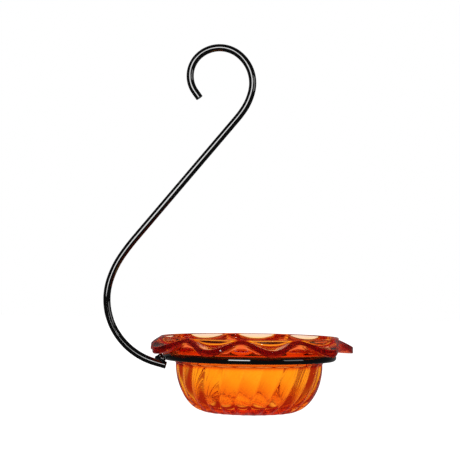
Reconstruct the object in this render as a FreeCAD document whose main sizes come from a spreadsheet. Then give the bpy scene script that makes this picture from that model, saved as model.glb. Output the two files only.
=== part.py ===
"""Hanging dish feeder: a ruffled, rib-swirled glass dish that rests in a wire ring on a bent hook rod.

The frame: origin at the centre of the dish's flat foot, +Z up, the rod in the plane Y = 0 on the -X side.
All lengths are millimetres and all angles degrees.
"""
import FreeCAD, Part
import math
import os
import Sketcher
from FreeCAD import Vector

# Driving dimensions: alias, value, what it is
SIZES = [
    ("wire_diameter", 4.76, "round wire of the rod and the ring"),
    ("ring_offset", 6.4, "middle of the ring's wire, out from the bowl's neck"),
    ("seat_gap", 0.2, "clearance between the ring and the flare that rests on it"),
    ("weld_gap", 1.5, "root gap between the rod and the ring, filled by the weld"),
    ("foot_tilt", 15.4, "fall of the rod's welded end towards the ring"),
    ("foot_overrun", 1.8, "rod past its nearest point to the ring's wire"),
    ("foot_length", 7.6, "straight at the welded end"),
    ("heel_radius", 44.0, "first bend after the welded end"),
    ("heel_angle", 42.1, "turn of the first bend"),
    ("elbow_radius", 41.0, "outermost part of the big bend"),
    ("elbow_angle", 49.5, "turn of the outermost part"),
    ("knee_radius", 61.0, "big bend opening out"),
    ("knee_angle", 17.0, "turn of the part that opens out"),
    ("ease_radius", 144.0, "big bend running into the shank"),
    ("ease_angle", 5.6, "turn of the run into the shank"),
    ("shank_length", 101.6, "straight slanting shank"),
    ("nape_radius", 73.0, "shank running into the hook"),
    ("nape_angle", 5.7, "turn of the run into the hook"),
    ("neck_bend_radius", 37.0, "hook closing in"),
    ("neck_bend_angle", 20.7, "turn of the part that closes in"),
    ("back_radius", 24.0, "back of the hook"),
    ("back_angle", 66.4, "turn of the hook's back"),
    ("crown_radius", 20.0, "crown of the hook, where it hangs"),
    ("crown_angle", 76.5, "turn of the crown"),
    ("nose_radius", 18.0, "nose of the hook"),
    ("nose_angle", 86.3, "turn of the nose"),
    ("tip_length", 5.1, "straight at the free end"),
    ("foot_radius", 26.5, "edge of the flat foot"),
    ("foot_land", 2.5, "band inside the foot's edge"),
    ("neck_radius", 47.6, "outside of the wall just under the collar, on the ribs' crests"),
    ("wall_draft", 1.4, "taper of the wall over the rounded part"),
    ("belly_height", 28.0, "height at which the rounded part ends"),
    ("wall_rise", 5.4, "corner between the wall and the flare, above the rounded part"),
    ("collar_height", 1.4, "plain collar under that corner, where the ribs end"),
    ("collar_proud", 0.35, "collar standing out from the ribs' crests"),
    ("floor_thickness", 5.5, "glass of the floor"),
    ("wall_thickness", 4.0, "wall behind a rib's crest"),
    ("rib_count", 24.0, "swirl ribs"),
    ("groove_depth", 1.2, "groove between two ribs"),
    ("groove_round", 0.08, "rounding in a groove's bottom, in half pitches"),
    ("swirl_angle", 11.4, "turn of the ribs from the foot to the collar"),
    ("flare_angle", 45.0, "slope of the flare that rests on the ring"),
    ("flare_thickness", 3.3, "glass of the flare"),
    ("crest_length", 11.7, "flare's inner side from the seat to the rim on a crest"),
    ("lip_reach", 10.2, "outer side of the mouth's lip, out from the neck"),
    ("lip_rise", 15.4, "top of the mouth's lip, above the neck"),
    ("petal_count", 9.0, "waves of the ruffled rim"),
    ("petal_offset", -5.5, "azimuth of the first crest, from the front"),
    ("petal_wander", 4.3, "unevenness of the hand-shaped waves"),
    ("petal_reach", 9.9, "petal's edge beyond the lip"),
    ("petal_fall", 5.8, "petal's edge below the lip's top"),
    ("petal_edge", 4.4, "height of the petal's upright edge"),
    ("bead_size", 2.4, "thickness of the weld's lumps"),
]

POLES_PER_RIB = 6
FOOT_STEPS = 6
FLOOR_STEPS = 5

# Places of poles in millimetres: under the collar, and along the flare's slope from the seat or the rim
COLLAR_STEPS = (2.4, 1.0, 0.3)
COLLAR_ROWS = (0.1, 0.6)
UNDER_FLARE = (-5.6, -4.2, -1.5, 1.5, 3.6)
UNDER_CREST = (5.2, 3.9, 2.7, 1.6, 0.7)
OVER_FLARE = (3.0, 0.0, -3.6)
NECK_ROUND = (0.4, 1.2)

# Shares of the rim's edge, from its lower corner to its upper one
EDGE_SHARES = (1.0, 0.86, 0.5, 0.14, 0.0)

# Shares of the way on a crest from the edge's upper corner to the lip
OVER_CREST = (0.1, 0.3, 0.5, 0.7, 0.9)

# The petal's poles from the lip: shares of its reach, and of its drop to the edge's lower or upper corner
UNDER_PETAL = ((-0.22, 0.86), (-0.1, 0.93), (0.1, 0.97), (0.44, 0.99), (0.86, 1.0))
OVER_PETAL = ((0.79, 0.95), (0.26, 0.84), (0.06, 0.76), (0.0, 0.52), (0.0, 0.0))

# The lip's poles in millimetres from the top of its outer side
LIP = ((-0.2, 0.3), (-1.2, 0.3), (-1.6, -0.2), (-2.6, -2.0), (-3.9, -4.0))


def make_sheet(doc):
    """Put the driving dimensions into a spreadsheet with one alias per cell."""
    sheet = doc.addObject("Spreadsheet::Sheet", "Sizes")
    sheet.Label = "Sizes"
    for row, (alias, value, note) in enumerate(SIZES, start=1):
        sheet.set("A%d" % row, alias)
        sheet.set("B%d" % row, repr(value))
        sheet.set("C%d" % row, note)
        sheet.setAlias("B%d" % row, alias)
    doc.recompute()
    return sheet


class Sizes:
    """The sheet's values, read back by alias."""

    def __init__(self, sheet):
        for alias, _, _ in SIZES:
            setattr(self, alias, float(sheet.get(alias)))


def origin_plane(body, role):
    """The body's own origin plane with the given role."""
    return [f for f in body.Origin.OriginFeatures if f.Role == role][0]


def ring_radius(s):
    """Radius of the ring, to the middle of the wire."""
    return s.neck_radius + s.ring_offset


def neck_height(s):
    """Height of the corner between the wall and the flare's underside."""
    return s.belly_height + s.wall_rise


def flare_point(s, along, lift):
    """Radius and height on the flare: along its slope from the seat, lifted off the underside.

    The seat is the point of the underside that comes nearest to the ring's wire.
    """
    slope = math.radians(s.flare_angle)
    radius = ring_radius(s) - (s.wire_diameter / 2 + s.seat_gap) * math.sin(slope)
    height = neck_height(s) + (radius - s.neck_radius) * math.tan(slope)
    radius += along * math.cos(slope) - lift * math.sin(slope)
    height += along * math.sin(slope) + lift * math.cos(slope)
    return radius, height


def ring_height(s):
    """Height of the ring's wire, so that the flare rests on it."""
    slope = math.radians(s.flare_angle)
    return flare_point(s, 0.0, 0.0)[1] - (s.wire_diameter / 2 + s.seat_gap) * math.cos(slope)


# The rod


def rod_pieces(s):
    """The rod's straights and bends from the welded end to the free end.

    A straight is (length alias, None, 0). A bend is (radius alias, angle alias, side), where
    side is +1 for a turn to the left along the rod and -1 for a turn to the right.
    """
    return [
        ("foot_length", None, 0),
        ("heel_radius", "heel_angle", -1),
        ("elbow_radius", "elbow_angle", -1),
        ("knee_radius", "knee_angle", -1),
        ("ease_radius", "ease_angle", -1),
        ("shank_length", None, 0),
        ("nape_radius", "nape_angle", 1),
        ("neck_bend_radius", "neck_bend_angle", 1),
        ("back_radius", "back_angle", 1),
        ("crown_radius", "crown_angle", 1),
        ("nose_radius", "nose_angle", 1),
        ("tip_length", None, 0),
    ]


def rod_start(s):
    """Centre of the rod's welded end: under the ring's wire, a weld's root gap away."""
    tilt = math.radians(s.foot_tilt)
    along = Vector(math.cos(tilt), -math.sin(tilt), 0)
    across = Vector(-math.sin(tilt), -math.cos(tilt), 0)
    ring = Vector(-ring_radius(s), ring_height(s), 0)
    return ring + across * (s.wire_diameter + s.weld_gap) + along * s.foot_overrun


def add_rod_path(sketch, s):
    """Draw the rod's centreline as tangent straights and arcs, each bound to its cells."""
    point = rod_start(s)
    heading = math.pi - math.radians(s.foot_tilt)
    previous_end = None
    for index, (size, angle, side) in enumerate(rod_pieces(s)):
        value = getattr(s, size)
        if side == 0:
            end = point + Vector(math.cos(heading), math.sin(heading), 0) * value
            sketch.addGeometry(Part.LineSegment(point, end))
            first, last = 1, 2
            row = sketch.addConstraint(Sketcher.Constraint("Distance", index, value))
            sketch.renameConstraint(row, size)
            sketch.setExpression("Constraints." + size, "Sizes." + size)
        else:
            turn = math.radians(getattr(s, angle))
            centre = point + Vector(-math.sin(heading), math.cos(heading), 0) * value * side
            start_angle = math.atan2(point.y - centre.y, point.x - centre.x)
            circle = Part.Circle(centre, Vector(0, 0, 1), value)
            if side > 0:
                arc = Part.ArcOfCircle(circle, start_angle, start_angle + turn)
                first, last = 1, 2
            else:
                arc = Part.ArcOfCircle(circle, start_angle - turn, start_angle)
                first, last = 2, 1
            sketch.addGeometry(arc)
            heading += turn * side
            end = centre + Vector(math.sin(heading), -math.cos(heading), 0) * value * side
            row = sketch.addConstraint(Sketcher.Constraint("Radius", index, value))
            sketch.renameConstraint(row, size)
            sketch.setExpression("Constraints." + size, "Sizes." + size)
            row = sketch.addConstraint(Sketcher.Constraint("Angle", index, turn))
            sketch.renameConstraint(row, angle)
            sketch.setExpression("Constraints." + angle, "Sizes." + angle)
        if previous_end is not None:
            sketch.addConstraint(Sketcher.Constraint("Tangent", index - 1, previous_end, index, first))
        previous_end = last
        point = end


def fix_rod_start(sketch, s):
    """Tie the centreline's start and first direction to the ring's place."""
    start = rod_start(s)
    tilt = math.pi - math.radians(s.foot_tilt)
    sketch.addConstraint(Sketcher.Constraint("DistanceX", 0, 1, start.x))
    sketch.addConstraint(Sketcher.Constraint("DistanceY", 0, 1, start.y))
    sketch.addConstraint(Sketcher.Constraint("Angle", 0, tilt))


def make_rod(doc, s):
    """The hanger rod: one round wire swept along its centreline."""
    body = doc.addObject("PartDesign::Body", "hanger_rod")
    body.Label = "hanger_rod"
    path = body.newObject("Sketcher::SketchObject", "RodPath")
    path.AttachmentSupport = [(origin_plane(body, "XZ_Plane"), "")]
    path.MapMode = "FlatFace"
    add_rod_path(path, s)
    fix_rod_start(path, s)
    doc.recompute()
    section = body.newObject("Sketcher::SketchObject", "RodSection")
    section.AttachmentSupport = [(path, "Edge1")]
    section.MapMode = "NormalToEdge"
    section.MapPathParameter = 0.0
    circle = section.addGeometry(Part.Circle(Vector(0, 0, 0), Vector(0, 0, 1), s.wire_diameter / 2))
    section.addConstraint(Sketcher.Constraint("Coincident", circle, 3, -1, 1))
    section.addConstraint(Sketcher.Constraint("Diameter", circle, s.wire_diameter))
    section.renameConstraint(1, "wire")
    section.setExpression("Constraints.wire", "Sizes.wire_diameter")
    doc.recompute()
    pipe = body.newObject("PartDesign::AdditivePipe", "RodSweep")
    pipe.Profile = section
    pipe.Spine = (path, ["Edge%d" % (i + 1) for i in range(len(rod_pieces(s)))])
    doc.recompute()
    return body


# The ring


def make_ring(doc, s):
    """The support ring: a closed circle of the same wire."""
    ring = doc.addObject("Part::Torus", "support_ring")
    ring.Label = "support_ring"
    ring.setExpression("Radius1", "Sizes.neck_radius + Sizes.ring_offset")
    ring.setExpression("Radius2", "Sizes.wire_diameter / 2")
    ring.Placement = FreeCAD.Placement(Vector(0, 0, ring_height(s)), FreeCAD.Rotation())
    doc.recompute()
    return ring


# The weld


def make_weld(doc, s, rod, ring):
    """The weld bead: round lumps that fill the corner between the rod and the ring.

    The lumps are set out from the root, the point midway between the two wires: each has a place
    back along the rod, a height off it and a radius, in shares of the bead's size.
    """
    tilt = math.radians(s.foot_tilt)
    back = Vector(-math.cos(tilt), 0, math.sin(tilt))
    up = Vector(math.sin(tilt), 0, math.cos(tilt))
    root = Vector(-ring_radius(s), 0, ring_height(s)) - up * (s.wire_diameter / 2 + s.weld_gap / 2)
    lumps = [
        ("BeadRoot", 0.50, 0.10, 0.78),
        ("BeadCrown", 0.95, 1.55, 0.66),
        ("BeadBody", 1.35, 0.75, 0.98),
        ("BeadToe", 2.20, 0.28, 0.76),
        ("BeadTip", 2.95, 0.05, 0.46),
    ]
    spheres = []
    for name, along, lift, share in lumps:
        lump = doc.addObject("Part::Sphere", name)
        lump.setExpression("Radius", "Sizes.bead_size * %g" % share)
        centre = root + (back * along + up * lift) * s.bead_size
        lump.Placement = FreeCAD.Placement(centre, FreeCAD.Rotation(Vector(0, 1, 0), s.foot_tilt))
        spheres.append(lump)
    heap = doc.addObject("Part::MultiFuse", "BeadLumps")
    heap.Shapes = spheres
    off_rod = doc.addObject("Part::Cut", "BeadOnRod")
    off_rod.Base = heap
    off_rod.Tool = rod
    bead = doc.addObject("Part::Cut", "weld_bead")
    bead.Label = "weld_bead"
    bead.Base = off_rod
    bead.Tool = ring
    doc.recompute()
    return bead


# The glass dish


def petal_phase(s, azimuth):
    """Droop of the rim at an azimuth: 0 on a crest, 1 in the middle of a petal."""
    wander = math.radians(s.petal_wander) * math.sin(2 * azimuth)
    shifted = azimuth - math.radians(s.petal_offset) + wander
    return (1 - math.cos(s.petal_count * shifted)) / 2


def groove(s, base):
    """Depth of the groove between two ribs, as a share: the ribs are round and meet in a V."""
    pitch = s.rib_count * base / (2 * math.pi)
    away = 2 * abs(pitch - round(pitch))
    return (1 - min(math.hypot(away, s.groove_round), 1.0)) ** 2


def belly_point(s, turn):
    """Radius and height on the rounded part of the wall, at a quarter ellipse's angle."""
    width = s.neck_radius - s.wall_draft - s.foot_radius
    height = s.belly_height * (1 - math.cos(turn))
    radius = s.foot_radius + width * math.sin(turn) + s.wall_draft * height / s.belly_height
    return radius, height


def outer_rows(s):
    """Pole rows of the outside from the foot to the collar: (radius, height, normal, rib share)."""
    rows = [(s.foot_radius - s.foot_land, 0.0, (0.0, -1.0), 0.0)]
    rows.append((s.foot_radius, 0.0, (0.0, -1.0), 0.8))
    for step in range(1, FOOT_STEPS + 1):
        turn = math.pi / 2 * step / FOOT_STEPS
        rows.append(belly_point(s, turn) + ((math.sin(turn), -math.cos(turn)), 1.0))
    collar = neck_height(s) - s.collar_height
    rows += [(s.neck_radius, collar - below, (1.0, 0.0), 1.0) for below in COLLAR_STEPS]
    rows += [(s.neck_radius + s.collar_proud, collar + above, (1.0, 0.0), 0.0) for above in COLLAR_ROWS]
    return rows


def rim_points(s, droop):
    """The rim's poles from the flare's underside round the edge to the lip.

    On a crest the flare runs straight on to an edge cut square to it, close by the lip. In the
    middle of a petal a skirt stands out under the lip and ends in an upright edge. Between them
    each pole moves on the straight line from the one to the other, by the droop.
    """
    end = s.crest_length
    lip = (s.neck_radius + s.lip_reach, neck_height(s) + s.lip_rise)
    crest = [flare_point(s, end - back, 0.0) for back in UNDER_CREST]
    crest += [flare_point(s, end, s.flare_thickness * (1 - share)) for share in EDGE_SHARES]
    corner = crest[-1]
    for share in OVER_CREST:
        crest.append(tuple(c + share * (l - c) for c, l in zip(corner, lip)))
    drop = s.petal_fall + s.petal_edge
    petal = [(s.petal_reach * out, -drop * down) for out, down in UNDER_PETAL]
    petal += [(s.petal_reach, -s.petal_fall - s.petal_edge * share) for share in EDGE_SHARES]
    petal += [(s.petal_reach * out, -s.petal_fall * down) for out, down in OVER_PETAL]
    petal = [(lip[0] + out, lip[1] + up) for out, up in petal]
    return [
        (a[0] + droop * (b[0] - a[0]), a[1] + droop * (b[1] - a[1]))
        for a, b in zip(crest, petal)
    ]


def inner_rows(s):
    """Pole rows of the inside wall, from the neck down to the floor, a glass thickness inside."""
    radius = s.neck_radius - s.wall_thickness
    rows = [(radius + NECK_ROUND[0], neck_height(s) + NECK_ROUND[1])]
    rows.append((radius, neck_height(s) - s.collar_height))
    for step in range(FLOOR_STEPS, -1, -1):
        turn = math.pi / 2 * step / FLOOR_STEPS
        radius, height = belly_point(s, turn)
        thickness = s.floor_thickness + (s.wall_thickness - s.floor_thickness) * math.sin(turn)
        rows.append((radius - thickness * math.sin(turn), height + thickness * math.cos(turn)))
    rows.append((s.foot_radius - s.foot_land, s.floor_thickness))
    return rows


def profile(s, base):
    """The dish's section along one rib line, from the foot round the rim to the inside floor.

    Its poles are (radius, height, azimuth): the azimuth grows with the ribs' swirl up to the
    collar, and from there on the section stays at that azimuth.
    """
    swirl = math.radians(s.swirl_angle)
    collar = neck_height(s) - s.collar_height
    points = []
    for radius, height, normal, share in outer_rows(s):
        depth = share * s.groove_depth * groove(s, base)
        azimuth = base + swirl * min(height / collar, 1.0)
        points.append((radius - depth * normal[0], height - depth * normal[1], azimuth))
    azimuth = base + swirl
    rest = [flare_point(s, along, 0.0) for along in UNDER_FLARE]
    rest += rim_points(s, petal_phase(s, azimuth))
    radius = s.neck_radius + s.lip_reach
    rest += [(radius + out, neck_height(s) + s.lip_rise + up) for out, up in LIP]
    rest += [flare_point(s, along, s.flare_thickness) for along in OVER_FLARE]
    rest += inner_rows(s)
    return points + [(radius, height, azimuth) for radius, height in rest]


def make_dish(doc, s):
    """The glass dish: one smooth surface from the foot round the rim to the floor, and two flats."""
    around = int(s.rib_count) * POLES_PER_RIB
    columns = []
    for index in range(around):
        section = profile(s, 2 * math.pi * index / around)
        columns.append([Vector(r * math.sin(a), -r * math.cos(a), z) for r, z, a in section])
    along = len(columns[0])
    surface = Part.BSplineSurface()
    surface.buildFromPolesMultsKnots(
        columns,
        [1] * (around + 1),
        [4] + [1] * (along - 4) + [4],
        [float(k) for k in range(around + 1)],
        [float(k) for k in range(along - 2)],
        True, False, 3, 3,
    )
    neck = len(outer_rows(s)) + 1
    inside = along - len(inner_rows(s)) - 3
    top = along - 3
    faces = []
    for low, high in ((0, neck), (neck, inside), (inside, top)):
        faces.append(surface.toShape(0.0, float(around), float(low), float(high)))
    for face, height in ((faces[0], 0.0), (faces[-1], s.floor_thickness)):
        rings = [e for e in face.Edges if e.isClosed() and abs(e.BoundBox.ZMin - height) < 1e-6
                 and e.BoundBox.ZLength < 1e-6]
        faces.append(Part.Face(Part.Wire(rings[0])))
    shell = Part.makeShell(faces)
    shell.sewShape()
    solid = Part.Solid(Part.Shell(shell.Faces))
    if solid.Volume < 0:
        solid.reverse()
    dish = doc.addObject("Part::Feature", "glass_dish")
    dish.Label = "glass_dish"
    dish.Shape = solid
    dish.Placement = FreeCAD.Placement()
    return dish


def check(doc, pieces):
    """Stop if any object has failed or any piece is empty, invalid or not one solid."""
    for item in doc.Objects:
        if "Invalid" in item.State or "Error" in item.State:
            raise RuntimeError("%s failed: %s" % (item.Name, item.State))
    for piece in pieces:
        shape = piece.Shape
        if shape.isNull() or not shape.isValid() or len(shape.Solids) != 1:
            raise RuntimeError("%s has no single valid solid" % piece.Label)
        print("%s: %.0f mm3" % (piece.Label, shape.Volume))


def main():
    doc = FreeCAD.newDocument("Feeder")
    sheet = make_sheet(doc)
    s = Sizes(sheet)
    rod = make_rod(doc, s)
    ring = make_ring(doc, s)
    dish = make_dish(doc, s)
    bead = make_weld(doc, s, rod, ring)
    doc.recompute()
    pieces = [rod, ring, bead, dish]
    check(doc, pieces)
    os.makedirs("parts", exist_ok=True)
    for piece in pieces:
        piece.Shape.exportStep(os.path.join("parts", piece.Label + ".step"))


main()
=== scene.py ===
"""Hanging dish feeder: pressed orange glass in a black enamelled wire ring on a bent hook rod.

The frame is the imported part's own: metres, origin at the centre of the dish's flat foot, +Z up, the
rod in the plane Y = 0 on the -X side. An azimuth is measured from the front (-Y) towards +X.
"""
import math

import bpy
import numpy as np
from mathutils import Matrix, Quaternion, Vector


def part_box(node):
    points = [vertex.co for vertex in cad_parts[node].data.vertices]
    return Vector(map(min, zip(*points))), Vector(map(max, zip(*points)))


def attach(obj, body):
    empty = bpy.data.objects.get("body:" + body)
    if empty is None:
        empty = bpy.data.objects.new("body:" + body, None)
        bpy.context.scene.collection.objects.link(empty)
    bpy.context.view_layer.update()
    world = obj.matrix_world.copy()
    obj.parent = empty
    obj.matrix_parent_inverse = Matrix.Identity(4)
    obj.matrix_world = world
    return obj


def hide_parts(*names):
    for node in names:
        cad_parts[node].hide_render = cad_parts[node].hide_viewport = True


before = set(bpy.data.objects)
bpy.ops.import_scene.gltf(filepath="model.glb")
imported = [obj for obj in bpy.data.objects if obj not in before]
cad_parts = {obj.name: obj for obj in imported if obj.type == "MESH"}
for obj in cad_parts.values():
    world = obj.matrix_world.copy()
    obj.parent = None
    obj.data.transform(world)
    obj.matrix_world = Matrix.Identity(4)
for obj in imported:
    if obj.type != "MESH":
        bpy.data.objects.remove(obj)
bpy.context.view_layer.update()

MM = 0.001

# The ring, read from the frame, and the dish's gap over it
ring_low, ring_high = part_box("support_ring")
WIRE_RADIUS = (ring_high[2] - ring_low[2]) / 2
RING_RADIUS = (ring_high[0] - ring_low[0]) / 2 - WIRE_RADIUS
RING_HEIGHT = (ring_high[2] + ring_low[2]) / 2
SEAT_GAP = 0.2 * MM

# The rod: its welded end under the ring, then straights (no radius) and bends
WELD_GAP = 1.5 * MM
FOOT_TILT = math.radians(15.4)
FOOT_OVERRUN = 1.8 * MM
END_ROUNDING = 0.45 * MM
ROD_PIECES = [
    # length or radius in mm, turn in degrees (negative to the right, 0 for a straight)
    (7.6, 0.0),
    (44.0, -42.1),
    (41.0, -49.5),
    (61.0, -17.0),
    (144.0, -5.6),
    (101.6, 0.0),
    (73.0, 5.7),
    (37.0, 20.7),
    (24.0, 66.4),
    (20.0, 76.5),
    (18.0, 86.3),
    (5.1, 0.0),
]

# The weld: strings of lumps, each its way along the rod and up from it and its radius, in mm
WELD_STRINGS = [
    [(6.8, -0.4, 0.7), (5.0, 0.4, 1.2), (3.6, 1.5, 1.6), (2.4, 3.2, 1.4)],
    [(6.6, -0.8, 0.6), (4.6, -0.2, 1.1), (2.6, 0.5, 1.7), (0.4, 0.2, 1.8), (-0.6, 0.2, 1.3)],
]
LUMP_FOCUS = 3.2
LUMP_BREADTH = 1.15  # its size along Y over its size in the rod's plane
TIP_REACH = 0.5  # how far from an end a string narrows, in steps from lump to lump
TIP_SHARE = 0.02  # the share of the radius left at the end itself

# The dish
FOOT_RADIUS = 26.5 * MM
FOOT_LAND = 2.5 * MM
NECK_RADIUS = 47.6 * MM
WALL_DRAFT = 1.4 * MM
BELLY_HEIGHT = 28.0 * MM
NECK_HEIGHT = 33.4 * MM
FLOOR_HEIGHT = 5.5 * MM
WALL_THICKNESS = 4.0 * MM
RIB_COUNT = 24
GROOVE_DEPTH = 1.2 * MM
GROOVE_ROUNDING = 0.08
FOOT_GROOVE_SHARE = 0.8
SWIRL_ANGLE = math.radians(11.4)
COLLAR_HEIGHT = 32.0 * MM
COLLAR_PROUD = 0.35 * MM
FLARE_ANGLE = math.radians(45.0)
FLARE_THICKNESS = 3.3 * MM
PETAL_COUNT = 9
PETAL_OFFSET = math.radians(-5.5)
PETAL_WANDER = math.radians(4.3)
CREST_LENGTH = 11.7 * MM
LIP_RADIUS = 57.8 * MM
LIP_HEIGHT = 48.8 * MM
PETAL_REACH = 9.9 * MM
PETAL_FALL = 5.8 * MM
PETAL_EDGE = 4.4 * MM

# Where the poles of the dish's section stand
BELLY_POLES = 6
FLOOR_POLES = 5
BELOW_COLLAR = (2.4, 1.0, 0.3)  # mm
ABOVE_COLLAR = (0.1, 0.6)  # mm
FLARE_OUTSIDE = (-5.6, -4.2, -1.5, 1.5, 3.6)  # mm up the flare from its seat
FLARE_INSIDE = (3.0, 0.0, -3.6)  # mm
CREST_BACK = (5.2, 3.9, 2.7, 1.6, 0.7)  # mm back from a crest's edge
CREST_OVER = (0.1, 0.3, 0.5, 0.7, 0.9)  # shares of the way from the edge to the lip
EDGE_SHARES = (1.0, 0.86, 0.5, 0.14, 0.0)  # shares of the edge's height, from its underside
# Under and over a petal: shares of its reach, outwards, and of its drop or its fall, downwards
PETAL_UNDER = ((-0.22, 0.86), (-0.1, 0.93), (0.1, 0.97), (0.44, 0.99), (0.86, 1.0))
PETAL_OVER = ((0.79, 0.95), (0.26, 0.84), (0.06, 0.76), (0.0, 0.52), (0.0, 0.0))
# The lip's top and inner side: mm out and up from its ridge
LIP_SECTION = ((-0.2, 0.3), (-1.4, 0.3), (-2.0, -0.2), (-2.0, -2.0), (-2.1, -3.8), (-3.4, -5.2))
NECK_EASE = (0.4 * MM, 1.2 * MM)  # out and up, where the inner wall turns into the flare

# How strongly the glass is coloured, from the pale lip of the mouth to the deep red edge, and its
# colours at these four strengths. The bowl's orange is the glass's own; the pale lip is a painted
# sheen, and the deeper red of the flare and the edge is painted shade
LIP, BOWL, SKIRT, EDGE = 0.0, 1 / 3, 2 / 3, 1.0
GLASS_AND_PAINTED_LIGHT_COLOURS = ("#e7cdc8", "#ffcc60", "#e8663c", "#700808")
# The foot, the inside floor and the collar: deeper red than the bowl, as painted shade
FOOT = np.array((0.6, 0.6, 0.58, 0.54, 0.48, 0.4))  # from the foot's land up the lower bowl
COLLAR = 0.85
LIP_PALE = 0.35  # the droop from which the lip is fully pale, as a painted sheen

# How finely the pieces are meshed
COLUMNS_PER_RIB = 18
SAMPLES_PER_SPAN = 4
WIRE_SIDES = 40
RING_STATIONS = 240
BEND_STEP = 1.2 * MM
BEND_STATIONS_LEAST = 3
STRAIGHT_STATIONS = 8
END_STATIONS = 5
LUMP_STATIONS = 14
LUMP_SIDES = 32

# The camera, worked out from the photograph's 460 x 460 frame
IMAGE_SIZE = 460
FOCAL_PIXELS = 1538.0
CAMERA_DISTANCE = 1.0
CAMERA_HEIGHT = 88.4 * MM
AXIS_PIXEL = (248.8, 355.9)
AXIS_PIXEL_HEIGHT = 36.0 * MM
CAMERA_ROLL = math.radians(0.75)

# The studio. Seen through the glass the surroundings are bright, apart from a band of |Z| round
# DARK_RISE and from the diagonals, where |X Y| is large, for a direction (X, Y, Z). A pair is where
# the one passes into the other
DARK_RISE = 0.66
DARK_RISE_EDGE = (0.1, 0.26)
DIAGONAL_EDGE = (0.24, 0.43)
BRIGHT = 1.3
DARK = "#b04020"
MIRRORED = (0.05, 0.15)  # what a mirrored ray meets elsewhere, and behind the part
MIRRORED_EDGE = (0.6, 0.95)  # the direction's Y between the two
THROWN = 0.3  # what lights matt surfaces
LAMP_DISTANCE = 1.4
LAMP_AIM = (0, 0, 0.08)
FLOOR_REACH = 12.0
FLOOR_LEVEL = -0.28
BOUNCES = 40


# Meshes


def closed_grid(rows, closed_along=False):
    """Points, quads and triangles of a closed grid: rows (n, m, 3), each row a ring of m points.

    Neighbouring rows are joined by quads, a ring's last point to its first. With closed_along the
    last row is joined to the first, otherwise each end is closed by a fan to its middle. The faces
    are turned round if the volume, the sum of a . (b x c) / 6 over the triangles, is negative.
    """
    n, m = rows.shape[:2]
    points = rows.reshape(-1, 3)
    index = np.arange(n * m).reshape(n, m)
    lower = index if closed_along else index[:-1]
    upper = np.roll(index, -1, axis=0) if closed_along else index[1:]
    corners = [lower, np.roll(lower, -1, axis=1), np.roll(upper, -1, axis=1), upper]
    quads = np.stack(corners, axis=-1).reshape(-1, 4)
    fans = np.zeros((0, 3), int)
    if not closed_along:
        points = np.vstack([points, rows[0].mean(axis=0), rows[-1].mean(axis=0)])
        start, end = index[0], index[-1]
        fans = np.vstack([
            np.stack([np.full(m, n * m), np.roll(start, -1), start], axis=-1),
            np.stack([np.full(m, n * m + 1), end, np.roll(end, -1)], axis=-1),
        ])
    triangles = np.vstack([quads[:, [0, 1, 2]], quads[:, [0, 2, 3]], fans])
    a, b, c = (points[triangles[:, k]] for k in range(3))
    if np.einsum("ij,ij->i", a, np.cross(b, c)).sum() < 0:
        quads, fans = quads[:, ::-1], fans[:, ::-1]
    return points, quads, fans


def new_piece(name, *grids):
    """One smooth-shaded mesh object from closed grids."""
    points, quads, fans, count = [], [], [], 0
    for grid_points, grid_quads, grid_fans in grids:
        points.append(grid_points)
        quads.append(grid_quads + count)
        fans.append(grid_fans + count)
        count += len(grid_points)
    points, quads, fans = np.vstack(points), np.vstack(quads), np.vstack(fans)
    corners = np.concatenate([quads.ravel(), fans.ravel()])
    starts = np.concatenate([np.arange(len(quads)) * 4, quads.size + np.arange(len(fans)) * 3])
    mesh = bpy.data.meshes.new(name)
    mesh.vertices.add(count)
    mesh.vertices.foreach_set("co", points.astype(np.float32).ravel())
    mesh.loops.add(len(corners))
    mesh.loops.foreach_set("vertex_index", corners.astype(np.int32))
    mesh.polygons.add(len(starts))
    mesh.polygons.foreach_set("loop_start", starts.astype(np.int32))
    mesh.polygons.foreach_set("use_smooth", np.ones(len(starts), dtype=bool))
    mesh.update(calc_edges=True)
    mesh.validate()
    piece = bpy.data.objects.new(name, mesh)
    bpy.context.scene.collection.objects.link(piece)
    return piece


def spline_weights(poles, samples_per_span):
    """Weights (samples, poles) of a clamped uniform cubic B-spline, by Cox-de Boor recursion."""
    degree = 3
    spans = poles - degree
    knots = np.concatenate([np.zeros(degree), np.arange(spans + 1.0), np.full(degree, spans)])
    at = np.linspace(0.0, spans, spans * samples_per_span + 1)[:, None]
    low, high = knots[None, :-1], knots[None, 1:]
    inside = np.where(high == spans, at <= high, at < high)
    weights = ((at >= low) & inside & (high > low)).astype(float)
    for k in range(1, degree + 1):
        width = knots[k:] - knots[:-k]
        share = np.where(width > 0, 1 / np.where(width > 0, width, 1), 0)
        left = (at - knots[:-k - 1]) * share[:-1]
        right = (knots[k + 1:] - at) * share[1:]
        weights = left * weights[:, :-1] + right * weights[:, 1:]
    return weights


# The glass dish


def petal_phase(azimuth):
    """Droop of the rim: (1 - cos(count * wandered azimuth)) / 2, so 0 on a crest, 1 on a petal."""
    wander = PETAL_WANDER * np.sin(2 * azimuth)
    return (1 - np.cos(PETAL_COUNT * (azimuth - PETAL_OFFSET + wander))) / 2


def groove(base):
    """Groove between two ribs: (1 - w) squared, with w = hypot(d, rounding) and at most 1.

    The distance d from the middle of the groove is in half pitches.
    """
    pitch = RIB_COUNT * base / (2 * math.pi)
    away = 2 * np.abs(pitch - np.round(pitch))
    return (1 - np.minimum(np.hypot(away, GROOVE_ROUNDING), 1)) ** 2


def belly_point(angle):
    """A point of the bowl's outside, from the foot (angle 0) to the neck (a right angle).

    It is a quarter ellipse, height h (1 - cos t) and radius r + w sin t, leaning out by the draft.
    """
    width = NECK_RADIUS - WALL_DRAFT - FOOT_RADIUS
    height = BELLY_HEIGHT * (1 - math.cos(angle))
    radius = FOOT_RADIUS + width * math.sin(angle) + WALL_DRAFT * height / BELLY_HEIGHT
    return radius, height


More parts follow.
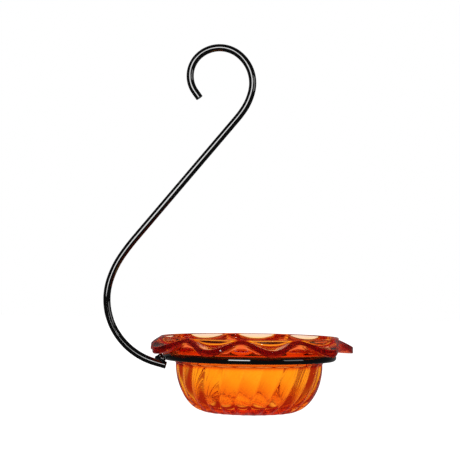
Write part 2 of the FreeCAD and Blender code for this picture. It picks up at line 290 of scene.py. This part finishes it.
def flare_point(along, lift):
    """A point of the flare: along its slope from the seat on the ring, lifted off its underside."""
    offset = WIRE_RADIUS + SEAT_GAP
    radius = RING_RADIUS - offset * math.sin(FLARE_ANGLE)
    height = NECK_HEIGHT + (radius - NECK_RADIUS) * math.tan(FLARE_ANGLE)
    radius += along * math.cos(FLARE_ANGLE) - lift * math.sin(FLARE_ANGLE)
    height += along * math.sin(FLARE_ANGLE) + lift * math.cos(FLARE_ANGLE)
    return radius, height


def rim_points(droop):
    """The rim's poles from the flare's underside round the edge to its inner side.

    On a crest the flare runs straight on to an edge cut square to it. In the middle of a petal it
    turns over at the ridge and falls to an upright edge. Between them each pole moves on the
    straight line from the one to the other, by the droop.
    """
    crest = [flare_point(CREST_LENGTH - back * MM, 0.0) for back in CREST_BACK]
    crest += [flare_point(CREST_LENGTH, FLARE_THICKNESS * (1 - share)) for share in EDGE_SHARES]
    corner = crest[-1]
    lip = (LIP_RADIUS, LIP_HEIGHT)
    for share in CREST_OVER:
        crest.append(tuple(c + share * (l - c) for c, l in zip(corner, lip)))
    drop = PETAL_FALL + PETAL_EDGE
    petal = [(PETAL_REACH * out, -drop * down) for out, down in PETAL_UNDER]
    petal += [(PETAL_REACH, -PETAL_FALL - PETAL_EDGE * share) for share in EDGE_SHARES]
    petal += [(PETAL_REACH * out, -PETAL_FALL * down) for out, down in PETAL_OVER]
    return [
        (a[0] + droop * (LIP_RADIUS + b[0] - a[0]), a[1] + droop * (LIP_HEIGHT + b[1] - a[1]))
        for a, b in zip(crest, petal)
    ]


def dish_poles(base):
    """The section's poles (columns, poles, 3) from the foot round the rim to the inside floor.

    Each pole is a radius, a height and an azimuth; the azimuth grows with the swirl of the ribs.
    Outside, a pole moves in along the wall's normal by its share of the groove's depth.
    """
    quarter = math.pi / 2
    # radius, height, the normal's way out and up, the share of the groove's depth
    outside = [
        (FOOT_RADIUS - FOOT_LAND, 0.0, 0.0, -1.0, 0.0),
        (FOOT_RADIUS, 0.0, 0.0, -1.0, FOOT_GROOVE_SHARE),
    ]
    for angle in quarter * np.arange(1, BELLY_POLES + 1) / BELLY_POLES:
        outside.append((*belly_point(angle), math.sin(angle), -math.cos(angle), 1.0))
    for below in BELOW_COLLAR:
        outside.append((NECK_RADIUS, COLLAR_HEIGHT - below * MM, 1.0, 0.0, 1.0))
    for above in ABOVE_COLLAR:
        outside.append((NECK_RADIUS + COLLAR_PROUD, COLLAR_HEIGHT + above * MM, 1.0, 0.0, 0.0))
    cut = groove(base)
    poles = []
    for radius, height, out, up, share in outside:
        depth = share * GROOVE_DEPTH * cut
        swirl = SWIRL_ANGLE * min(height / COLLAR_HEIGHT, 1.0)
        poles.append((radius - depth * out, height - depth * up, base + swirl))
    azimuth = base + SWIRL_ANGLE
    rest = [flare_point(along * MM, 0.0) for along in FLARE_OUTSIDE]
    rest += rim_points(petal_phase(azimuth))
    rest += [(LIP_RADIUS + out * MM, LIP_HEIGHT + up * MM) for out, up in LIP_SECTION]
    rest += [flare_point(along * MM, FLARE_THICKNESS) for along in FLARE_INSIDE]
    inside = NECK_RADIUS - WALL_THICKNESS
    rest += [(inside + NECK_EASE[0], NECK_HEIGHT + NECK_EASE[1]), (inside, COLLAR_HEIGHT)]
    for angle in quarter * np.arange(FLOOR_POLES, -1, -1) / FLOOR_POLES:
        radius, height = belly_point(angle)
        thickness = FLOOR_HEIGHT + (WALL_THICKNESS - FLOOR_HEIGHT) * math.sin(angle)
        rest.append((radius - thickness * math.sin(angle), height + thickness * math.cos(angle)))
    rest.append((FOOT_RADIUS - FOOT_LAND, FLOOR_HEIGHT))
    poles += [(radius, height, azimuth) for radius, height in rest]
    flat = np.zeros_like(base)
    columns = [np.stack([part + flat for part in pole], axis=-1) for pole in poles]
    return np.stack(columns, axis=1)


def pole_tint_and_painted_light(base):
    """How strongly each pole of each column is coloured (columns, poles).

    The bowl has the glass's own orange. The foot, the inside floor, the collar, the flare and the
    petals are more strongly coloured and the edge most, a deeper red that is painted shade. The lip
    is pale, a painted sheen, over the middle of a petal and as strong as the petal where a crest
    meets it.
    """
    droop = petal_phase(base + SWIRL_ANGLE)[:, None]
    # The lip's painted sheen: pale over a petal, as strong as the flare where a crest meets it
    lip = SKIRT + (LIP - SKIRT) * np.clip(droop / LIP_PALE, 0, 1)
    # A strength and the number of poles that have it, from the foot to the inside floor
    runs = (
        (FOOT, 6), (BOWL, 3), (COLLAR, 4), (SKIRT, 10), (EDGE, 5),
        (SKIRT, 3), (lip, 6), (SKIRT, 5), (BOWL, 4), (FOOT[:0:-1], 5),
    )
    return np.hstack([strength + np.zeros((len(base), count)) for strength, count in runs])


def make_dish():
    """The dish: the cubic B-spline of its section's poles at each column, carried round the axis.

    A sample of radius r, height z and azimuth a stands at (r sin a, -r cos a, z).
    """
    base = np.linspace(0, 2 * math.pi, RIB_COUNT * COLUMNS_PER_RIB, endpoint=False)
    poles = dish_poles(base)
    weights = spline_weights(poles.shape[1], SAMPLES_PER_SPAN)
    section = np.einsum("sp,apk->sak", weights, poles)
    radius, height, azimuth = section[..., 0], section[..., 1], section[..., 2]
    rows = np.stack([radius * np.sin(azimuth), -radius * np.cos(azimuth), height], axis=-1)
    piece = new_piece("dish_glass", closed_grid(rows))
    # Colour strength: the bowl's own orange, a painted sheen on the lip, painted shade elsewhere
    strike = weights @ pole_tint_and_painted_light(base).T
    # The last two points are the middles of the foot and of the floor
    tint_and_painted_light_values = np.concatenate([strike.ravel(), [BOWL, BOWL]]).astype(np.float32)
    piece.data.attributes.new("strike", "FLOAT", "POINT").data.foreach_set("value", tint_and_painted_light_values)
    return piece


# The wire


def rod_line():
    """Stations of the rod's centreline from the welded end: points (n, 2) in X and Z, and headings.

    Along a piece of signed curvature c the heading is h + c s, and the point moves by
    ((sin(h + c s) - sin h) / c, (cos h - cos(h + c s)) / c), or by s (cos h, sin h) on a straight.
    """
    along = np.array([math.cos(FOOT_TILT), -math.sin(FOOT_TILT)])
    down = np.array([-math.sin(FOOT_TILT), -math.cos(FOOT_TILT)])
    weld_side = np.array([-RING_RADIUS, RING_HEIGHT])
    point = weld_side + down * (2 * WIRE_RADIUS + WELD_GAP) + along * FOOT_OVERRUN
    heading = math.pi - FOOT_TILT
    points, headings = [], []
    for size, turn in ROD_PIECES:
        turn = math.radians(turn)
        length = size * MM * (abs(turn) if turn else 1.0)
        curvature = turn / length
        in_bend = max(BEND_STATIONS_LEAST, int(length / BEND_STEP))
        stations = np.linspace(0, length, in_bend if turn else STRAIGHT_STATIONS)
        angle = heading + curvature * stations
        if turn:
            step_x = (np.sin(angle) - math.sin(heading)) / curvature
            step_z = (math.cos(heading) - np.cos(angle)) / curvature
        else:
            step_x, step_z = stations * math.cos(heading), stations * math.sin(heading)
        step = np.stack([step_x, step_z], axis=-1)
        first = 1 if points else 0
        points.append(point + step[first:])
        headings.append(angle[first:])
        point = point + step[-1]
        heading = angle[-1]
    return np.vstack(points), np.concatenate(headings)


def rounded_ends(points, headings, radius, edge):
    """Add rows to both ends so that the wire's cut edges are rounded by a quarter circle.

    At the angle t of it the row lies e (1 - sin t) from the end, with the radius r - e (1 - cos t).
    """
    turn = np.linspace(0, math.pi / 2, END_STATIONS)
    inset = radius - edge * (1 - np.cos(turn))
    ahead = np.stack([np.cos(headings), np.sin(headings)], axis=-1)
    start = points[0] + ahead[0] * (edge * (1 - np.sin(turn)))[::-1, None]
    end = points[-1] - ahead[-1] * (edge * (1 - np.sin(turn)))[:, None]
    line = np.vstack([start, points[1:-1], end])
    first, last = np.full(END_STATIONS, headings[0]), np.full(END_STATIONS, headings[-1])
    heads = np.concatenate([first, headings[1:-1], last])
    radii = np.concatenate([inset[::-1], np.full(len(points) - 2, radius), inset])
    return line, heads, radii


def make_rod():
    """The rod: a circle carried square to the centreline, c + r (cos p n + sin p y)."""
    points, headings = rod_line()
    line, heads, radii = rounded_ends(points, headings, WIRE_RADIUS, END_ROUNDING)
    around = np.linspace(0, 2 * math.pi, WIRE_SIDES, endpoint=False)
    across = radii[:, None] * np.cos(around)
    x = line[:, 0, None] - np.sin(heads)[:, None] * across
    z = line[:, 1, None] + np.cos(heads)[:, None] * across
    y = radii[:, None] * np.sin(around)
    return new_piece("rod_wire", closed_grid(np.stack([x, y, z], axis=-1)))


def make_ring():
    """The ring: a circle of wire carried round the axis, radius R + r cos p and height r sin p."""
    azimuth = np.linspace(0, 2 * math.pi, RING_STATIONS, endpoint=False)[:, None]
    around = np.linspace(0, 2 * math.pi, WIRE_SIDES, endpoint=False)[None, :]
    radius = RING_RADIUS + WIRE_RADIUS * np.cos(around)
    x = radius * np.sin(azimuth)
    y = -radius * np.cos(azimuth)
    z = RING_HEIGHT + WIRE_RADIUS * np.sin(around) + 0 * azimuth
    return new_piece("ring_wire", closed_grid(np.stack([x, y, z], axis=-1), closed_along=True))


def bead(root, lumps):
    """One weld string: rings square to a smooth line through its lumps, their radii blended.

    At the station t the lump k weighs exp(-(f (t - k)) squared / 4), with f the focus. Near an
    end the radius falls by sqrt(1 - (1 - e) squared), e the way from it as a share of the reach.
    """
    count = len(lumps)
    at = np.linspace(0, count - 1, LUMP_STATIONS * count)
    weights = np.exp(-(LUMP_FOCUS * (at[:, None] - np.arange(count))) ** 2 / 4)
    weights /= weights.sum(axis=1, keepdims=True)
    blended = weights @ lumps
    line, radius = blended[:, :2], blended[:, 2]
    ahead = np.gradient(line, axis=0)
    ahead /= np.linalg.norm(ahead, axis=1, keepdims=True)
    ends = np.minimum(at, at[-1] - at) / TIP_REACH
    radius = radius * np.sqrt(np.clip(1 - np.clip(1 - ends, 0, 1) ** 2, TIP_SHARE ** 2, 1))
    around = np.linspace(0, 2 * math.pi, LUMP_SIDES, endpoint=False)
    x = line[:, 0, None] - ahead[:, 1, None] * radius[:, None] * np.cos(around)
    z = line[:, 1, None] + ahead[:, 0, None] * radius[:, None] * np.cos(around)
    y = radius[:, None] * LUMP_BREADTH * np.sin(around)
    return closed_grid(root + np.stack([x, y, z], axis=-1))


def make_weld():
    """The weld: strings of lumps that fill the corner between the rod and the ring."""
    sine, cosine = math.sin(FOOT_TILT), math.cos(FOOT_TILT)
    up = np.array([sine, 0, cosine])
    root = np.array([-RING_RADIUS, 0, RING_HEIGHT]) - up * (WIRE_RADIUS + WELD_GAP / 2)
    axes = np.array([[-cosine, sine], [sine, cosine]])
    strings = []
    for lumps in WELD_STRINGS:
        table = np.array(lumps) * MM
        strings.append(bead(root, np.column_stack([table[:, :2] @ axes, table[:, 2]])))
    return new_piece("weld_lumps", *strings)


# Materials


def linear(hex_colour):
    """An sRGB hex colour as linear red, green, blue and alpha."""
    parts = [int(hex_colour[k:k + 2], 16) / 255 for k in (1, 3, 5)]
    return [c / 12.92 if c <= 0.04045 else ((c + 0.055) / 1.055) ** 2.4 for c in parts] + [1.0]


def node(tree, kind, links=None, **settings):
    """Add a node. A setting named in_X sets its input X, any other one a property.

    The links join sockets to inputs. An input is given by its name or its number.
    """
    added = tree.nodes.new(kind)
    for key, value in settings.items():
        if key.startswith("in_"):
            name = key[3:].replace("_", " ")
            added.inputs[int(name) if name.isdigit() else name].default_value = value
        else:
            setattr(added, key, value)
    for name, socket in (links or {}).items():
        tree.links.new(socket, added.inputs[name])
    return added


def new_material(name):
    """An empty material with an output node."""
    material = bpy.data.materials.new(name)
    material.use_nodes = True
    tree = material.node_tree
    tree.nodes.clear()
    return material, tree, node(tree, "ShaderNodeOutputMaterial")


def pressed_orange_glass():
    """Pressed soda-lime glass, its own colour orange in the bowl, paled at the lip by a painted sheen
    and reddened at the rim by painted shade.

    Fresh glass has no roughness, and the mould leaves a faint ripple some 15 mm long.
    """
    material, tree, output = new_material("pressed_orange_glass")
    place = node(tree, "ShaderNodeTexCoord")
    ripple = node(
        tree, "ShaderNodeTexNoise", {"Vector": place.outputs["Object"]},
        in_Scale=70.0, in_Detail=1.0,
    )
    bump = node(
        tree, "ShaderNodeBump", {"Height": ripple.outputs["Fac"]},
        in_Strength=0.05, in_Distance=0.001,
    )
    # Colour strength: the bowl's own orange, a painted sheen on the lip, painted shade elsewhere
    strike = node(tree, "ShaderNodeAttribute", attribute_name="strike")
    tint = node(tree, "ShaderNodeValToRGB", {"Fac": strike.outputs["Fac"]})
    ramp = tint.color_ramp.elements
    ramp.new(BOWL)
    ramp.new(SKIRT)
    for step, colour in zip(ramp, GLASS_AND_PAINTED_LIGHT_COLOURS):
        step.color = linear(colour)
    shader = node(
        tree, "ShaderNodeBsdfPrincipled",
        {"Normal": bump.outputs["Normal"], "Base Color": tint.outputs["Color"]},
        in_Roughness=0.0, in_IOR=1.52, in_Transmission_Weight=1.0,
    )
    body = node(tree, "ShaderNodeVolumeAbsorption", in_Color=linear("#fde947"), in_Density=160.0)
    tree.links.new(shader.outputs["BSDF"], output.inputs["Surface"])
    tree.links.new(body.outputs["Volume"], output.inputs["Volume"])
    return material


def black_enamel():
    """Thick gloss black enamel on steel wire: mirror-like with a faint orange-peel skin."""
    material, tree, output = new_material("black_enamel")
    place = node(tree, "ShaderNodeTexCoord")
    peel = node(
        tree, "ShaderNodeTexNoise", {"Vector": place.outputs["Object"]},
        in_Scale=120.0, in_Detail=1.0,
    )
    bump = node(
        tree, "ShaderNodeBump", {"Height": peel.outputs["Fac"]},
        in_Strength=0.003, in_Distance=0.0003,
    )
    shader = node(
        tree, "ShaderNodeBsdfPrincipled", {"Normal": bump.outputs["Normal"]},
        in_Base_Color=linear("#040404"), in_Roughness=0.04, in_IOR=1.6,
    )
    tree.links.new(shader.outputs["BSDF"], output.inputs["Surface"])
    return material


# The studio


def make_camera():
    """The camera at the photograph's distance and height, aimed at what the frame's middle has."""
    camera = bpy.data.cameras.new("camera")
    camera.sensor_width = 36.0
    camera.lens = FOCAL_PIXELS / IMAGE_SIZE * camera.sensor_width
    camera.clip_start = 0.01
    rig = bpy.data.objects.new("camera", camera)
    bpy.context.scene.collection.objects.link(rig)
    scale = CAMERA_DISTANCE / FOCAL_PIXELS
    middle = (IMAGE_SIZE - 1) / 2
    right, down = AXIS_PIXEL[0] - middle, AXIS_PIXEL[1] - middle
    level_right = right * math.cos(CAMERA_ROLL) + down * math.sin(CAMERA_ROLL)
    level_down = down * math.cos(CAMERA_ROLL) - right * math.sin(CAMERA_ROLL)
    target = Vector((-level_right * scale, 0.0, AXIS_PIXEL_HEIGHT + level_down * scale))
    rig.location = (0.0, -CAMERA_DISTANCE, CAMERA_HEIGHT)
    aim = (target - rig.location).to_track_quat("-Z", "Y")
    rig.rotation_euler = (aim @ Quaternion((0, 0, 1), CAMERA_ROLL)).to_euler()
    bpy.context.scene.camera = rig


def area_light(name, azimuth, elevation, size, power, lit=None):
    """A soft rectangular lamp aimed at the part, its place given by its direction in degrees.

    With a collection in lit, the lamp lights only the pieces in it.
    """
    target = Vector(LAMP_AIM)
    a, e = math.radians(azimuth), math.radians(elevation)
    direction = Vector((math.sin(a) * math.cos(e), -math.cos(a) * math.cos(e), math.sin(e)))
    place = target + LAMP_DISTANCE * direction
    light = bpy.data.lights.new(name, "AREA")
    light.shape = "RECTANGLE"
    light.size, light.size_y = size
    light.energy = power
    lamp = bpy.data.objects.new(name, light)
    lamp.location = place
    lamp.rotation_euler = (target - place).to_track_quat("-Z", "Y").to_euler()
    lamp.visible_camera = False
    lamp.visible_transmission = False
    if lit is not None:
        lamp.light_linking.receiver_collection = lit
    bpy.context.scene.collection.objects.link(lamp)


def make_world():
    """The surroundings: white to the camera, and for any other ray by its kind and direction.

    A ray through the glass meets white when it is level, steep or square to a side, and brown on
    the diagonals and between level and steep. A mirrored ray meets a dark grey, a little lighter
    behind the part, and the light thrown on matt surfaces is an even grey.
    """
    world = bpy.data.worlds.new("studio")
    bpy.context.scene.world = world
    world.use_nodes = True
    tree = world.node_tree
    tree.nodes.clear()
    path = node(tree, "ShaderNodeLightPath")
    direction = node(tree, "ShaderNodeTexCoord")
    parts = node(tree, "ShaderNodeSeparateXYZ", {"Vector": direction.outputs["Generated"]})
    x, y, z = (parts.outputs[axis] for axis in "XYZ")
    steep = node(tree, "ShaderNodeMath", {0: z}, operation="ABSOLUTE")
    offset = node(
        tree, "ShaderNodeMath", {0: steep.outputs[0]}, operation="SUBTRACT", in_1=DARK_RISE,
    )
    away = node(tree, "ShaderNodeMath", {0: offset.outputs[0]}, operation="ABSOLUTE")
    across = node(tree, "ShaderNodeMath", {0: x, 1: y}, operation="MULTIPLY")
    aside = node(tree, "ShaderNodeMath", {0: across.outputs[0]}, operation="ABSOLUTE")
    off_band = node(
        tree, "ShaderNodeMapRange", {"Value": away.outputs[0]}, interpolation_type="SMOOTHSTEP",
        in_From_Min=DARK_RISE_EDGE[0], in_From_Max=DARK_RISE_EDGE[1],
    )
    off_diagonal = node(
        tree, "ShaderNodeMapRange", {"Value": aside.outputs[0]}, interpolation_type="SMOOTHSTEP",
        in_From_Min=DIAGONAL_EDGE[0], in_From_Max=DIAGONAL_EDGE[1], in_To_Min=1.0, in_To_Max=0.0,
    )
    facing = node(
        tree, "ShaderNodeMath", {0: off_band.outputs[0], 1: off_diagonal.outputs[0]},
        operation="MULTIPLY",
    )
    # A mix node's input 0 is its factor, 2 and 3 are its numbers, and 6 and 7 its colours
    through = node(
        tree, "ShaderNodeMix", {0: facing.outputs[0]}, data_type="RGBA",
        in_6=linear(DARK), in_7=[BRIGHT, BRIGHT, BRIGHT, 1.0],
    )
    mirrored = node(
        tree, "ShaderNodeMapRange", {"Value": y}, interpolation_type="SMOOTHSTEP",
        in_From_Min=MIRRORED_EDGE[0], in_From_Max=MIRRORED_EDGE[1],
        in_To_Min=MIRRORED[0], in_To_Max=MIRRORED[1],
    )
    thrown = node(
        tree, "ShaderNodeMix", {0: path.outputs["Is Glossy Ray"], 3: mirrored.outputs[0]},
        in_2=THROWN,
    )
    unseen = node(
        tree, "ShaderNodeMix",
        {0: path.outputs["Is Transmission Ray"], 6: thrown.outputs[0], 7: through.outputs[2]},
        data_type="RGBA",
    )
    colour = node(
        tree, "ShaderNodeMix", {0: path.outputs["Is Camera Ray"], 6: unseen.outputs[2]},
        data_type="RGBA", in_7=linear("#ffffff"),
    )
    background = node(tree, "ShaderNodeBackground", {"Color": colour.outputs[2]})
    output = node(tree, "ShaderNodeOutputWorld")
    tree.links.new(background.outputs["Background"], output.inputs["Surface"])


def make_floor():
    """The pale floor: white to the camera, with the feeder's shadow on it by its matt share."""
    mesh = bpy.data.meshes.new("floor")
    corners = [(-1, -1), (1, -1), (1, 1), (-1, 1)]
    points = [(x * FLOOR_REACH, y * FLOOR_REACH, FLOOR_LEVEL) for x, y in corners]
    mesh.from_pydata(points, [], [(0, 1, 2, 3)])
    floor = bpy.data.objects.new("floor", mesh)
    bpy.context.scene.collection.objects.link(floor)
    material, tree, output = new_material("white_sweep")
    path = node(tree, "ShaderNodeLightPath")
    matt = node(tree, "ShaderNodeBsdfDiffuse", in_Color=linear("#f4f4f4"))
    glow = node(
        tree, "ShaderNodeEmission", {"Strength": path.outputs["Is Camera Ray"]},
        in_Color=linear("#f8f8f8"),
    )
    both = node(tree, "ShaderNodeAddShader", {0: matt.outputs[0], 1: glow.outputs[0]})
    tree.links.new(both.outputs[0], output.inputs["Surface"])
    mesh.materials.append(material)
    floor.visible_transmission = False
    floor.visible_glossy = False


def make_studio(wires):
    """A white room with its floor well below the hanging feeder, and three lamps.

    The two softboxes give the wire its long highlights and light nothing else. The glass has the
    surroundings and the small key lamp.
    """
    make_world()
    area_light("left_softbox", azimuth=-13, elevation=12, size=(0.68, 0.62), power=17.0, lit=wires)
    area_light("right_softbox", azimuth=60, elevation=12, size=(0.7, 0.5), power=3.0, lit=wires)
    area_light("key_lamp", azimuth=19, elevation=14, size=(0.07, 0.07), power=0.25)
    make_floor()
    cycles = bpy.context.scene.cycles
    cycles.max_bounces = BOUNCES
    cycles.transmission_bounces = BOUNCES
    cycles.glossy_bounces = BOUNCES
    cycles.volume_bounces = 0


def main():
    glass = pressed_orange_glass()
    enamel = black_enamel()
    makers = [
        (make_dish, "glass_dish", glass, "orange_glass"),
        (make_rod, "hanger_rod", enamel, "black_paint"),
        (make_ring, "support_ring", enamel, "black_paint"),
        (make_weld, "weld_bead", enamel, "black_paint"),
    ]
    # The pieces that the softboxes light
    wires = bpy.data.collections.new("wires")
    for maker, replaced, material, slot in makers:
        piece = maker()
        if material is enamel:
            wires.objects.link(piece)
        piece.data.materials.append(material)
        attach(piece, "root")
        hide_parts(replaced)
    make_camera()
    make_studio(wires)
    bpy.context.scene.view_settings.view_transform = "Standard"


main()
